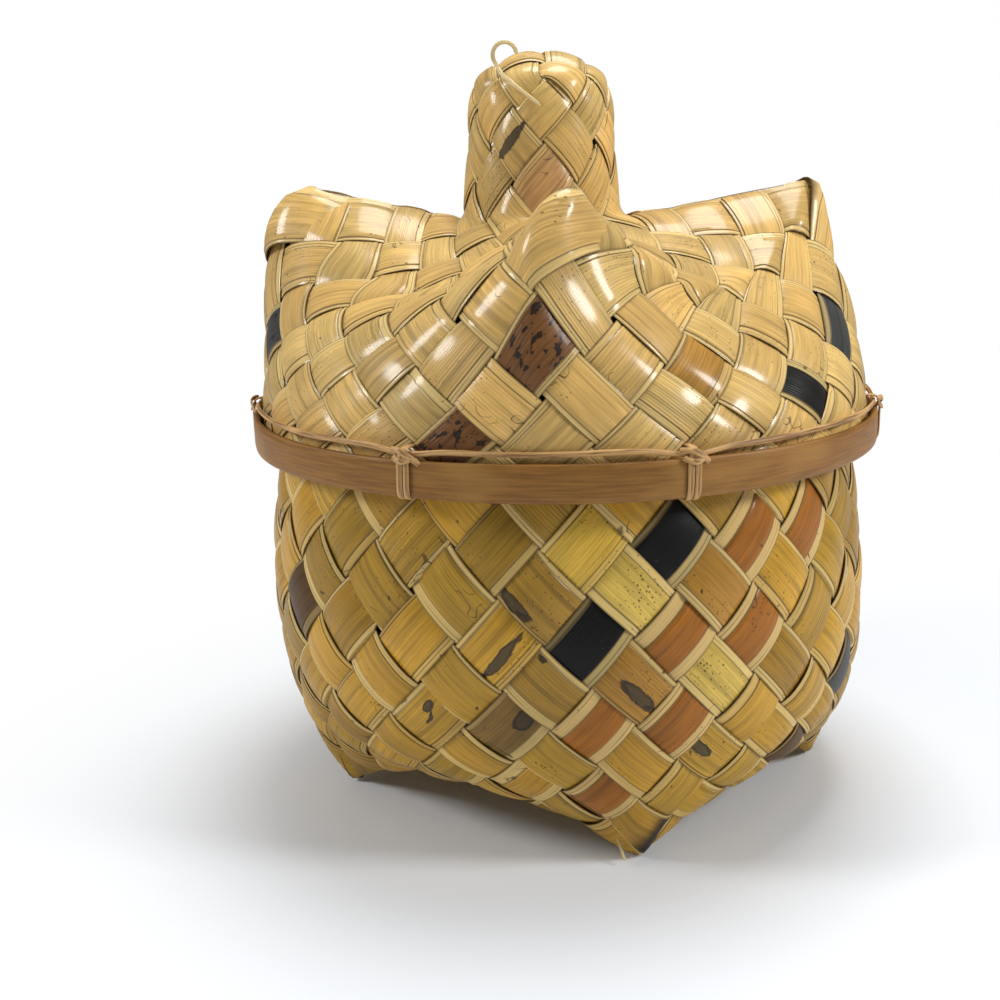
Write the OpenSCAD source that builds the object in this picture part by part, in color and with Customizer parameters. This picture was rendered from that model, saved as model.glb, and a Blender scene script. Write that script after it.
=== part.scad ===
// Lidded basket, plaited on the bias from flat splints.
// Millimetres, +Z up, origin on the basket's axis at the level of its feet. The front is -Y.

/* [Plaiting] */
// Splint width as a share of the spacing of the splints
cover = 0.9; // [0.8:0.01:0.92]
// Thickness of a splint at its crown
splint_t = 1; // [0.6:0.1:1.2]
// Least air between two splints that cross
splint_gap = 0.4; // [0.3:0.05:0.5]

/* [Base] */
// Height of the mouth above the feet
mouth_z = 178; // [170:1:184]
// Radius of the mouth, at the middle of the plaiting
mouth_r = 117; // [105:0.5:132]
// How far the feet stand inside the mouth's circle
foot_in = 11; // [3:1:19]
// How far the bottom's edge lies inside the mouth's circle, halfway between two feet
bottom_in = 29; // [23:1:37]
// Height of the arch between two feet
arch_z = 23; // [14:1:32]
// Height of the bottom's middle, which is pushed up
bottom_z = 42; // [25:1:60]
// How far outside the mouth's circle the wall is drawn low down
belly_out = 23; // [13:1:26]
// How far outside the mouth's circle the wall is drawn high up
shoulder_out = 10.2; // [3:0.1:10.4]
// Turn of the front foot away from the front
base_turn = 11; // [0:1:45]
// How far the bottom stands to the right of the axis
bottom_right = 10; // [0:1:12]
// How far the bottom stands to the front of the axis
bottom_front = 15; // [0:1:20]
// Share by which the bottom is narrower from front to back
bottom_squeeze = 0.2; // [0:0.05:0.25]

/* [Lid] */
// Height of the lid's lower edge
rim_z = 154; // [150:1:158]
// Air between the lid's inner hoop and the base's wall
lid_gap = 0.6; // [0.4:0.1:0.8]
// How far the four peaks stand inside the mouth's circle
peak_in = 10; // [3:1:19]
// Height of the four peaks
peak_z = 262; // [252:1:272]
// How far the top's edge lies inside the mouth's circle, halfway between two peaks
top_in = 33; // [27:1:39]
// Height of the top's edge between two peaks
saddle_z = 221; // [214:1:228]
// Turn of the front peak away from the front
lid_turn = 3; // [0:1:45]
// Twist of the lid's wall below the peaks
lid_twist = -5.5; // [-8:0.5:0]
// How far the lid's wall sways to the left
lid_sway = 7; // [0:1:9]

/* [Knob] */
// Radius of the hollow knob
knob_r = 29; // [25:0.5:32]
// Height of the knob's shoulder
knob_z = 303; // [294:1:312]
// Rise of the knob's domed top above its shoulder
knob_dome = 10; // [4:1:14]
// Radius of the knob's flared foot
knob_foot_r = 34; // [31:0.5:37]
// Height of the knob's foot
knob_foot_z = 246; // [238:1:250]
// How far the knob stands to the left of the axis
knob_shift = 8; // [0:1:12]

/* [Hoops] */
// Height of the lid's outer hoop
hoop_h = 14; // [10:0.5:15]
// Thickness of the lid's outer hoop
hoop_t = 2.8; // [2:0.1:4]
// Height of the lid's inner hoop
inner_hoop_h = 11; // [8:0.5:13]
// Thickness of the lid's inner hoop
inner_hoop_t = 2.4; // [1.6:0.1:2.6]
// Height of the hoop inside the base's mouth
mouth_hoop_h = 12; // [8:0.5:16]
// Thickness of the hoop inside the base's mouth
mouth_hoop_t = 2.6; // [1.8:0.1:4]
// Air between a hoop and the plaiting that it grips
hoop_gap = 0.3; // [0.1:0.05:0.5]

/* [Lashing] */
// Width of a lashing
lash_w = 1.6; // [1:0.1:1.7]
// Thickness of a lashing
lash_t = 0.8; // [0.5:0.1:0.9]
// Air between a lashing or the strand and what it lies on
lash_gap = 0.2; // [0.1:0.05:0.3]
// Thickness of the strand along the hoop
strand_d = 2.4; // [1.6:0.1:2.6]

/* [Hidden] */
// The bottom is a square of 2 * half plaiting units a side, so the walls are 8 * half units round.
half = 3;
// Half side of the knob's square top, in plaiting units
knob_half = 1;
// Plaiting units up the base's wall, down the knob's wall and down the lid's wall
base_rows = 5.25;
knob_rows = 2;
lid_rows = 3.25;
ring_rows = half - knob_half;
// How much closer the lid's rows lie at its rim
rim_crowd = 0.26;
// Columns of the lid, counted from the front peak, with a lashing in their lowest open corner
lash_columns = [1, 5, 8, 12, 15, 18, 22];
// The lashing that covers the meeting ends of the outer hoop, and half the slit there, in degrees
slit_lash = 1;
slit_deg = 0.15;
// How far the outer face of split cane bulges
cane_bulge = 0.7;
// Half of the stretch on which a base splint lies flat over another, in plaiting units
base_flat = 0.2;
// How far the splints weave in and out of the middle surface
base_weave = (splint_t + splint_gap) / (2 - cover / (1 - base_flat));
lid_weave = (splint_t + splint_gap) / (2 - cover);
// The feet's tips lie this far below the floor, because the splints stop short of them.
tip_drop = 0.8;
// Reach of the plaiting inside and outside the middle surface, where a round wall's chords lie inside
chord_sag = 0.5;
base_in = base_weave + chord_sag;
base_out = base_weave + splint_t;
lid_in = lid_weave + chord_sag;
lid_out = lid_weave + splint_t;
// The mouth sets the width of base and lid. A square's half width, and the radius of its corners:
bottom_half = mouth_r - bottom_in;
foot_r = mouth_r - foot_in;
top_half = mouth_r - top_in;
peak_r = mouth_r - peak_in;
// Points that draw the wall curves out, as [radius, height], at a corner and between two corners
belly_r = mouth_r + belly_out;
belly_corner_z = 55;
belly_side_z = 35;
belly_side_out = 5;
belly_corner = [belly_r, belly_corner_z];
belly_side = [belly_r + belly_side_out, belly_side_z];
shoulder_z = 122;
shoulder = [mouth_r + shoulder_out, shoulder_z];
mouth = [mouth_r, mouth_z];
peak_out = 19;
peak_fall = 22;
peak_draw = [peak_r + peak_out, peak_z - peak_fall];
saddle_out = 20;
saddle_fall = 8;
saddle_draw = [top_half + saddle_out, saddle_z - saddle_fall];
// The lid's rim fits round the base: its inner hoop clears the wall where the rim comes to lie.
seat_r = radius_at([[bottom_half, arch_z], belly_side, shoulder, mouth], rim_z);
rim_r = seat_r + base_out + lid_gap + inner_hoop_t + hoop_gap + lid_in;
rim_out = 0.2;
rim_rise = 34;
rim_draw = [rim_r + rim_out, rim_z + rim_rise];
rim = [rim_r, rim_z];
knob_top_out = 3;
knob_top_fall = 16;
knob_foot_rise = 21;
knob_draw_top = [knob_r + knob_top_out, knob_z - knob_top_fall];
knob_draw_foot = [knob_r, knob_foot_z + knob_foot_rise];
// A wall's edge as [half width, corner radius, height between two corners, height at a corner]
base_edge = [bottom_half, foot_r, arch_z, -tip_drop];
lid_edge = [top_half, peak_r, saddle_z, peak_z];
base_draws = [belly_side, belly_corner, shoulder, mouth];
lid_draws = [saddle_draw, peak_draw, rim_draw, rim];
// Twist, shift to the right, shift to the back and squeeze in depth, at the bottom and at the knob
bottom_set = [0, bottom_right, -bottom_front, bottom_squeeze];
knob_set = [0, -knob_shift, 0, 0];
// Radii of the lid's hoops, where they touch the plaiting
outer_hoop_r = rim_r + lid_out + hoop_gap;
inner_hoop_r = rim_r - lid_in - hoop_gap;
// Spacing of the sections along a splint, in plaiting units, and the step that measures a slope
section = 0.5;
// Least cosine between a fold's middle and its faces that a mitre follows
steepest_fold = 0.6;
eps = 0.01;
splints = 4 * half;
corner_deg = 45;
unit_deg = corner_deg / half;
straw = [0.80, 0.66, 0.38];
pale_straw = [0.86, 0.75, 0.50];
cane = [0.58, 0.40, 0.22];

FAMILIES = ["a", "b"];
BASE_NODES = [for (f = FAMILIES) for (i = [1 : splints]) str("base_splint_", f, i)];
LID_NODES = [
    for (f = FAMILIES) for (i = [1 : splints]) str(through_knob(i) ? "knob" : "lid", "_splint_", f, i)
];
HOOP_NODES = ["mouth_hoop", "lid_inner_hoop", "lid_outer_hoop", "hoop_strand", "rim_lashings"];

// Splint i of a family lies this many plaiting units off the middle.
function offset_of(i) = i - 2 * half - 0.5;
function through_knob(i) = abs(offset_of(i)) < 2 * knob_half;

function mix(p, q, t) = p + (q - p) * t;
function bezier(p, t) =
    pow(1 - t, 3) * p[0] + 3 * pow(1 - t, 2) * t * p[1] + 3 * (1 - t) * t * t * p[2] + pow(t, 3) * p[3];
function wrap(s, n) = s - n * floor(s / n);
// Radius of a curve of [radius, height] at height z, by halving
function radius_at(curve, z, low = 0, high = 1, halvings = 30) =
    let (t = (low + high) / 2, p = bezier(curve, t))
    halvings == 0 ? p[0]
    : p[1] < z ? radius_at(curve, z, t, high, halvings - 1) : radius_at(curve, z, low, t, halvings - 1);

// Plan of a rounded square of half width w, at v from -1 to 1 along the side that faces +X.
// Roundness 0 is a square and 1 a circle.
function roundness(corner_r, w) = 2 - pow(corner_r / w, 2);
function side_plan(w, e, v) = [w * sqrt(1 - e * v * v / 2), w * v * sqrt(1 - e / 2)];
function quilt(w, e, u, v) = [w * u * sqrt(1 - e * v * v / 2), w * v * sqrt(1 - e * u * u / 2)];
function turned(p, deg) = [p.x * cos(deg) - p.y * sin(deg), p.x * sin(deg) + p.y * cos(deg)];
function polar(r, deg) = [r * cos(deg), r * sin(deg)];

// Points of the middle surface are [x, y, z, set]. Its set moves a point after its family is mirrored.
// A wall hangs on the edge of a rounded square and ends in a circle. s counts plaiting units round it,
// t runs from 0 at the square to 1 at the circle.
function wall(s, t, edge, draws, set) =
    let (n = wrap(s, 8 * half), i = floor(n / (2 * half)), v = n / half - 2 * i - 1, q = v * v)
    let (plan = side_plan(edge[0], roundness(edge[1], edge[0]), v))
    let (deg = mix(atan2(plan.y, plan.x), corner_deg * v, 1 - pow(1 - t, 2)) + 2 * corner_deg * i)
    let (start = [norm(plan), mix(edge[2], edge[3], q)])
    let (rz = bezier([start, mix(draws[0], draws[1], q), draws[2], draws[3]], t), xy = polar(rz[0], deg))
    [xy.x, xy.y, rz[1], set];

function base_wall(s, h) =
    let (t = h / base_rows)
    wall(s, t, base_edge, base_draws, pow(1 - t, 3) * bottom_set);

// The sway is all but gone where the hoops are.
function lid_wall(s, h) =
    let (u = h / lid_rows, t = u * (1 + rim_crowd * (1 - u)))
    let (sway = lid_sway * t * pow(1 - t, 3) * 256 / 27)
    wall(s, t, lid_edge, lid_draws, [lid_twist * (1 - pow(1 - t, 4)), -sway, 0, 0]);

function base_floor(a, b) =
    let (u = a / half, v = b / half, uu = u * u, vv = v * v)
    let (xy = quilt(bottom_half, roundness(foot_r, bottom_half), u, v))
    let (z = bottom_z * (1 - uu) * (1 - vv) + arch_z * (uu + vv - 2 * uu * vv) - tip_drop * uu * vv)
    [xy.x, xy.y, z, bottom_set];

// The knob's domed top is a circle, its wall a waisted tube with g rows from top to foot.
function knob_top(a, b) =
    let (u = a / knob_half, v = b / knob_half, xy = quilt(knob_r, 1, u, v))
    [xy.x, xy.y, knob_z + knob_dome * (1 - u * u) * (1 - v * v), knob_set];

function knob_wall(s, g) =
    let (n = wrap(s, 8 * knob_half), i = floor(n / (2 * knob_half)), v = n / knob_half - 2 * i - 1)
    let (plan = side_plan(1, 1, v), deg = atan2(plan.y, plan.x) + 2 * corner_deg * i)
    let (curve = [[knob_r, knob_z], knob_draw_top, knob_draw_foot, [knob_foot_r, knob_foot_z]])
    let (rz = bezier(curve, g / knob_rows), xy = polar(rz[0], deg))
    [xy.x, xy.y, rz[1], knob_set];

// The lid's top round the knob: side i, b along the side, rho from the knob's foot out to the lid's edge
function lid_ring(i, b, rho) =
    let (t = (rho - knob_half) / ring_rows, v = b / rho, q = v * v)
    let (e = mix(1, roundness(peak_r, top_half), t), w = mix(knob_foot_r, top_half, t))
    let (xy = turned(side_plan(w, e, v), 2 * corner_deg * i))
    [xy.x, xy.y, mix(knob_foot_z, saddle_z, t) + (peak_z - saddle_z) * q * t, pow(1 - t, 2) * knob_set];

// A splint runs at c units off the middle, x units along from its own middle. It crosses a square of half
// side n, then goes h rows on over the edge, where it meets the walls at column edge_s.
function rows_over(c, x, n) = (abs(x) - (2 * n - abs(c))) / 2;
function falls(c, x) = c * x > 0;
function edge_s(c, x, n) = c > 0 ? (x > 0 ? c : 4 * n - c) : (x > 0 ? 8 * n + c : 4 * n - c);
function drift(c, x, h) = falls(c, x) ? -h : h;

function base_point(c, x) =
    let (h = rows_over(c, x, half))
    h <= 0 ? base_floor((c + x) / 2, (c - x) / 2) : base_wall(edge_s(c, x, half) + drift(c, x, h), h);

function lid_point(c, x) =
    let (h = rows_over(c, x, half), a = (c + x) / 2, b = (c - x) / 2)
    h > 0 ? lid_wall(edge_s(c, x, half) + drift(c, x, h), h)
    : abs(a) >= abs(b) ? lid_ring(a > 0 ? 0 : 2, a > 0 ? b : -b, abs(a))
    : lid_ring(b > 0 ? 1 : 3, b > 0 ? -a : a, abs(b));

function knob_point(c, x) =
    let (g = rows_over(c, x, knob_half), s = edge_s(c, x, knob_half) + drift(c, x, min(g, knob_rows)))
    let (n = wrap(s, 8 * knob_half), i = floor(n / (2 * knob_half)), k = n - 2 * knob_half * i)
    let (out = g - knob_rows, b = k - knob_half + drift(c, x, min(out, ring_rows)))
    g <= 0 ? knob_top((c + x) / 2, (c - x) / 2)
    : g <= knob_rows ? knob_wall(s, g)
    : out <= ring_rows ? lid_ring(i, b, knob_half + out)
    : lid_wall(2 * half * i + b + half + drift(c, x, out - ring_rows), out - ring_rows);

function surface_point(kind, c, x) =
    kind == "base" ? base_point(c, x) : kind == "lid" ? lid_point(c, x) : knob_point(c, x);

// Family b is family a mirrored. The basket's squares are turned from the front by turn.
function placed(kind, mirrored, c, x) =
    let (p = surface_point(kind, c, x), set = p[3], turn = kind == "base" ? base_turn : lid_turn)
    let (xy = turned([p.x, mirrored ? -p.y : p.y], turn - corner_deg + set[0]))
    [xy.x + set[1], xy.y * (1 - set[3]) + set[2], p.z];

function outward(kind, mirrored, c, x) =
    let (dc = placed(kind, mirrored, c + eps, x) - placed(kind, mirrored, c - eps, x))
    let (dx = placed(kind, mirrored, c, x + eps) - placed(kind, mirrored, c, x - eps))
    let (n = cross(dc, dx) * ((kind == "base") == mirrored ? -1 : 1))
    n / norm(n);

// The splint zigzags between 1, outside a splint that it crosses, and -1, inside it.
function zigzag(kind, mirrored, c, x) =
    let (off = abs(wrap(c + x + (mirrored ? 1 : 0), 2) - 1), flat = kind == "base" ? base_flat : 0)
    1 - 2 * max(off - flat, 0) / (1 - flat);

// Four points across the splint at c: its edges, the middle of its flat side and its crown.
// xs holds where each edge and the middle lie along it. Over a fold the middle is lifted further.
function section_at(kind, mirrored, c, xs) =
    let (cs = [c - cover / 2, c, c + cover / 2])
    let (lift = [for (x = xs) (kind == "base" ? base_weave : lid_weave) * zigzag(kind, mirrored, c, x)])
    let (left = outward(kind, mirrored, cs[0], xs[0]), right = outward(kind, mirrored, cs[2], xs[2]))
    let (sum = left + right, n = sum / norm(sum), mitre = n / max(n * left, steepest_fold))
    let (ns = [left, mitre, right])
    let (flat = [for (j = [0 : 2]) placed(kind, mirrored, cs[j], xs[j]) + lift[j] * ns[j]])
    concat(flat, [flat[1] + splint_t * mitre]);

// A four-sided patch of a splint is split along the diagonal that lies nearer the middle surface.
function patch(kind, mirrored, c, xs, next_xs, j, low, high) =
    let (cs = [c - cover / 2, c, c + cover / 2], k = j + 1)
    let (x = (xs[j] + xs[k] + next_xs[j] + next_xs[k]) / 4)
    let (mid = placed(kind, mirrored, (cs[j] + cs[k]) / 2, x))
    let (p = placed(kind, mirrored, cs[j], xs[j]) + placed(kind, mirrored, cs[k], next_xs[k]))
    let (q = placed(kind, mirrored, cs[k], xs[k]) + placed(kind, mirrored, cs[j], next_xs[j]))
    norm(p / 2 - mid) < norm(q / 2 - mid)
        ? [[low[0], high[0], high[1]], [low[0], high[1], low[1]]]
        : [[low[0], high[0], low[1]], [low[1], high[0], high[1]]];

function rows_of(kind) =
    kind == "base" ? base_rows : kind == "lid" ? lid_rows : knob_rows + ring_rows + lid_rows;
function square_of(kind) = kind == "knob" ? knob_half : half;
// Rows past the edge of the square between which the sections lie closer
function fine_from(kind) = kind == "base" ? -section : -2 * half;
function fine_to(kind) = rows_of(kind) - (kind == "base" ? base_rows : lid_rows) + 3 * section;

// Sections lie where splints cross, and also halfway between over the folds and round the knob.
function takes_section(kind, c, x) =
    let (rows = rows_over(c, x, square_of(kind)))
    x != floor(x) || (rows >= fine_from(kind) && rows <= fine_to(kind));

// Below the lid, where a base splint lies flat, both ends of that stretch take a section.
function flat_ends(kind, mirrored, c, x) =
    let (rows = rows_over(c, x, half))
    kind == "base" && rows > fine_to(kind) && rows < base_rows - 1 && zigzag(kind, mirrored, c, x) == 1
        ? [x - base_flat, x + base_flat]
        : [x];

// One splint from rim to rim. Its ends are cut along the rim.
module splint(kind, mirrored, c) {
    reach = 2 * rows_of(kind) + 2 * square_of(kind) - eps;
    last_x = floor(reach - abs(c)) + section;
    cut = [for (side = [-1, 0, 1]) reach - abs(c + side * cover / 2)];
    plain = [
        for (x = [-last_x : section : last_x]) if (takes_section(kind, c, x))
            for (at = abs(x) < last_x ? flat_ends(kind, mirrored, c, x) : [x]) [at, at, at]
    ];
    xs = concat([-cut], plain, [cut]);
    last = len(xs) - 1;
    skin = [
        for (j = [0 : last - 1]) for (k = [0, 1])
            let (flat = [4 * j + k, 4 * j + k + 1])
            let (top = k == 0 ? [4 * j, 4 * j + 3] : [4 * j + 3, 4 * j + 2])
            let (under = patch(kind, mirrored, c, xs[j], xs[j + 1], k, flat, flat + [4, 4]))
            let (over = patch(kind, mirrored, c, xs[j], xs[j + 1], k, top, top + [4, 4]))
            each concat(under, [for (f = over) [f[2], f[1], f[0]]])
    ];
    end = 4 * last;
    ends = [[0, 1, 3], [1, 2, 3], [end, end + 3, end + 1], [end + 1, end + 3, end + 2]];
    flip = (kind == "base") != mirrored;
    faces = [for (f = concat(skin, ends)) flip ? [f[2], f[1], f[0]] : f];
    polyhedron([for (x = xs) each section_at(kind, mirrored, c, x)], faces);
}

module base_splint(mirrored, i) {
    color(straw) splint("base", mirrored, offset_of(i));
}

module lid_splint(mirrored, i) {
    color(through_knob(i) ? pale_straw : straw)
        splint(through_knob(i) ? "knob" : "lid", mirrored, offset_of(i));
}

// Hoop inside the mouth, tilted as the wall is there
module mouth_hoop() {
    lean = (shoulder[0] - mouth_r) / (mouth_z - shoulder[1]);
    top_r = mouth_r - base_in - hoop_gap;
    foot = [top_r + lean * mouth_hoop_h, mouth_z - mouth_hoop_h];
    color(cane)
        rotate_extrude($fn = 180)
            polygon([
                [top_r, mouth_z],
                [top_r - mouth_hoop_t, mouth_z],
                [foot[0] - mouth_hoop_t, foot[1]],
                foot
            ]);
}

module lid_inner_hoop() {
    color(cane)
        rotate_extrude($fn = 180)
            translate([inner_hoop_r - inner_hoop_t, rim_z])
                square([inner_hoop_t, inner_hoop_h]);
}

// Column of a lashing, as a turn from +X
function lash_deg(i) = lid_turn + lid_twist - 2 * corner_deg + unit_deg * (lash_columns[i] + 0.5);

// Split cane with a flat back and a bulged face, whose ends meet under a lashing
module lid_outer_hoop() {
    face_r = (hoop_h * hoop_h / 4 + cane_bulge * cane_bulge) / (2 * cane_bulge);
    color(cane)
        rotate([0, 0, lash_deg(slit_lash) + slit_deg])
            rotate_extrude(angle = 360 - 2 * slit_deg, $fn = 180)
                intersection() {
                    translate([outer_hoop_r, rim_z]) square([hoop_t, hoop_h]);
                    translate([outer_hoop_r + hoop_t - face_r, rim_z + hoop_h / 2])
                        circle(face_r, $fn = 90);
                }
}

module hoop_strand() {
    color(pale_straw)
        rotate_extrude($fn = 180)
            translate([outer_hoop_r + hoop_t / 2, rim_z + hoop_h + lash_gap + strand_d / 2])
                circle(d = strand_d, $fn = 24);
}

// Each lashing goes round both hoops and the rim, and through an open corner of the plaiting.
module lashing(i) {
    column = lash_columns[i] + 0.5;
    corner = lid_wall(column, lid_rows - 0.75);
    low = [inner_hoop_r - inner_hoop_t - lash_gap, rim_z - lash_gap];
    high = [outer_hoop_r + hoop_t + lash_gap, corner.z - lash_t / 2];
    deg = atan2(corner.y, corner.x) + lid_turn - corner_deg + corner[3][0];
    rotate([90, 0, deg])
        linear_extrude(lash_w, center = true)
            difference() {
                translate(low - [lash_t, lash_t]) square(high - low + 2 * [lash_t, lash_t]);
                translate(low) square(high - low);
            }
}

module rim_lashings() {
    color(pale_straw)
        for (i = [0 : len(lash_columns) - 1])
            lashing(i);
}

for (f = [0, 1]) for (i = [1 : splints])
    base_splint(f == 1, i);
for (f = [0, 1]) for (i = [1 : splints])
    lid_splint(f == 1, i);
mouth_hoop();
lid_inner_hoop();
lid_outer_hoop();
hoop_strand();
rim_lashings();
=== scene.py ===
# %% [markdown]
# # A lidded basket, plaited on the bias
# The real basket is 48 flat splints, three cane hoops and some lashing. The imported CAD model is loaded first
# and fixes every size. Each splint is then made again as a finer strip that lies where its CAD solid lies.

# %% Load the frame
import math

import bpy
import numpy as np
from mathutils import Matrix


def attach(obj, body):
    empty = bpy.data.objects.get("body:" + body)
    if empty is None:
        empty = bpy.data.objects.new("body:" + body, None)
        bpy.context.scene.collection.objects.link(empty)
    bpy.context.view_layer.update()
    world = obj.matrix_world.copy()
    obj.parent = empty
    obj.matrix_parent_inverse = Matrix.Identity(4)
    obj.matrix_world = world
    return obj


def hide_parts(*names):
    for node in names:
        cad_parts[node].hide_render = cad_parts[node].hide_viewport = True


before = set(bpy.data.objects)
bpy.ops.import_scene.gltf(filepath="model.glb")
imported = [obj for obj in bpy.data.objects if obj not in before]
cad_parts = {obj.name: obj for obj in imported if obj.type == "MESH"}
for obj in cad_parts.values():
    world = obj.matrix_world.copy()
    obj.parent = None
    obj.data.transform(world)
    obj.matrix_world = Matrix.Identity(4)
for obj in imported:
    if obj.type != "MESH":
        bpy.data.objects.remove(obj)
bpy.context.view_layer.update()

# %% [markdown]
# ## Camera
# The camera comes first, because every later choice is judged through it. Its place and lens were fitted to
# the rim hoop's ellipse and to the feet: about 0.6 m away, level with the lid's top, looking a little down.

# %% Camera
CAMERA_PLACE = (0.0, -0.59107, 0.27142)
CAMERA_PITCH, CAMERA_YAW, CAMERA_ROLL = (math.radians(a) for a in (14.15, -2.745, 1.146))
FOCAL_PIXELS, FRAME_PIXELS, SENSOR_MM = 1355.6, 1000, 36.0

forward = np.array([
    math.sin(CAMERA_YAW) * math.cos(CAMERA_PITCH),
    math.cos(CAMERA_YAW) * math.cos(CAMERA_PITCH),
    -math.sin(CAMERA_PITCH),
])
level = np.array([math.cos(CAMERA_YAW), -math.sin(CAMERA_YAW), 0.0])
down = np.cross(forward, level)
right = math.cos(CAMERA_ROLL) * level + math.sin(CAMERA_ROLL) * down
down = math.cos(CAMERA_ROLL) * down - math.sin(CAMERA_ROLL) * level

bpy.ops.object.camera_add(location=CAMERA_PLACE)
camera = bpy.context.object
turn = np.eye(4)
turn[:3, :3] = np.array([right, -down, -forward]).T
turn[:3, 3] = CAMERA_PLACE
camera.matrix_world = turn.T.tolist()
camera.data.sensor_width = SENSOR_MM
camera.data.lens = FOCAL_PIXELS * SENSOR_MM / FRAME_PIXELS
camera.data.clip_start = 0.01
bpy.context.scene.camera = camera
print("lens", round(camera.data.lens, 2), "mm")

# %% [markdown]
# ## Shader sums
# Finishes are sums of noises and masks. A small class wraps a socket, so that such a sum is written as Python
# writes it, and one method makes any other node.


# %% A socket that can be reckoned with
class Wire:
    """An output socket of a material's node tree."""

    def __init__(self, tree, socket=None):
        self.tree, self.socket = tree, socket

    def node(self, kind, settings=None, inputs=None, out=0):
        made = self.tree.nodes.new(kind)
        for key, value in (settings or {}).items():
            setattr(made, key, value)
        for key, value in (inputs or {}).items():
            if isinstance(value, Wire):
                self.tree.links.new(value.socket, made.inputs[key])
            else:
                made.inputs[key].default_value = value
        return Wire(self.tree, made.outputs[out])

    def math(self, operation, *values):
        return self.node("ShaderNodeMath", {"operation": operation}, dict(enumerate(values)))

    def __add__(self, other):
        return self.math("ADD", self, other)

    def __radd__(self, other):
        return self.math("ADD", other, self)

    def __sub__(self, other):
        return self.math("SUBTRACT", self, other)

    def __rsub__(self, other):
        return self.math("SUBTRACT", other, self)

    def __mul__(self, other):
        return self.math("MULTIPLY", self, other)

    def __rmul__(self, other):
        return self.math("MULTIPLY", other, self)

    def __gt__(self, other):
        return self.math("GREATER_THAN", self, other)

    def __abs__(self):
        return self.math("ABSOLUTE", self)

    def within(self, low, high):
        """0 below low, 1 above high, and a soft rise between."""
        return self.node(
            "ShaderNodeMapRange",
            {"interpolation_type": "SMOOTHSTEP"},
            {"Value": self, "From Min": low, "From Max": high},
        )

    def blend(self, share, first, second):
        """A colour between two colours."""
        return self.node("ShaderNodeMix", {"data_type": "RGBA"}, {0: share, 6: first, 7: second}, out=2)

    def tint(self, colour, share):
        """This colour, mixed towards another one by a share."""
        return self.blend(share, self, colour)

    def scaled(self, value):
        """This colour made brighter or darker."""
        return self.node("ShaderNodeVectorMath", {"operation": "SCALE"}, {0: self, "Scale": value})

    def split(self):
        parts = self.tree.nodes.new("ShaderNodeSeparateXYZ")
        self.tree.links.new(self.socket, parts.inputs[0])
        return [Wire(self.tree, output) for output in parts.outputs]

    def joined(self, x, y, z):
        return self.node("ShaderNodeCombineXYZ", inputs={0: x, 1: y, 2: z})

    def noise(self, x, y, z, detail=2.0):
        place = self.joined(x, y, z)
        return self.node("ShaderNodeTexNoise", inputs={"Vector": place, "Scale": 1.0, "Detail": detail})

    def bump(self, strength, distance):
        """The normal of a surface that has this height."""
        return self.node("ShaderNodeBump", inputs={"Strength": strength, "Distance": distance, "Height": self})


def linear(red, green, blue):
    """A colour that is written as on screen, 0 to 255, as the renderer's linear colour."""
    parts = [value / 255 for value in (red, green, blue)]
    return tuple(p / 12.92 if p <= 0.04045 else ((p + 0.055) / 1.055) ** 2.4 for p in parts) + (1.0,)


def new_finish(name):
    """A node material, its first wire, and a function that joins a wire to its shader."""
    finish = bpy.data.materials.new(name)
    finish.use_nodes = True
    tree = finish.node_tree
    shader = tree.nodes["Principled BSDF"]

    def feed(socket, value):
        if isinstance(value, Wire):
            tree.links.new(value.socket, shader.inputs[socket])
        else:
            shader.inputs[socket].default_value = value

    return finish, Wire(tree), feed


print("mid grey on screen is", round(linear(128, 128, 128)[0], 3), "in linear light")

# %% [markdown]
# ## Splint finish
# A splint is a strip of bark or wood with a glossy, coloured skin, and with a paler layer under it that shows
# as a band along its edges. Grain and fine ridges run along it, and it has specks, worm lines and a few dark
# scars. The strip's own map gives the place along and across it in metres, so the grain follows every bend.
# What differs from strip to strip comes from attributes: skin colour, seed, gloss, and masks of bands, edges,
# seams, scars and specks. The edge and seam masks carry painted shade: the strip's outermost edges, where the
# next splint shades them, and the foot of the step from skin to band are painted dark. A noise takes features
# per metre along and across, and then the strip's own offset.

# %% Splint: inputs and noises
splint_finish, wire, feed = new_finish("splint_skin")
along, across, _ = wire.node("ShaderNodeUVMap", {"uv_map": "UVMap"}).split()
skin = wire.node("ShaderNodeAttribute", {"attribute_name": "skin"}, out="Color")
seed, band, edge, seam_shade, scar, specks, mottle, gloss = (
    wire.node("ShaderNodeAttribute", {"attribute_name": name}, out="Fac")
    for name in ("seed", "band", "edge", "seam_shade", "scar", "specks", "mottle", "gloss")
)

grain = wire.noise(along * 40, across * 900, seed * 37, 3.0)
fine_grain = wire.noise(along * 120, across * 2100, seed * 11, 1.0)
cloud = wire.noise(along * 45, across * 80, seed * 53, 2.0)
streak = wire.noise(along * 14, across * 330, seed * 71, 1.0).within(0.54, 0.72)
print("splint noises:", len(splint_finish.node_tree.nodes), "nodes")


# %% Splint: specks, worm lines and scars
def dots(per_metre, share, small, large):
    """Dots in a share of the cells of a honeycomb, a little ragged."""
    cells = wire.tree.nodes.new("ShaderNodeTexVoronoi")
    ragged = 0.5 * wire.noise(along * 4 * per_metre, across * 4 * per_metre, seed)
    place = wire.joined(along * per_metre + ragged, across * 1.25 * per_metre + ragged, seed * 5)
    wire.tree.links.new(place.socket, cells.inputs["Vector"])
    cells.inputs["Scale"].default_value = 1.0
    chosen = Wire(wire.tree, cells.outputs["Color"]).split()[0] > 1 - share
    return (1 - Wire(wire.tree, cells.outputs["Distance"]).within(small, large)) * chosen


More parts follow.
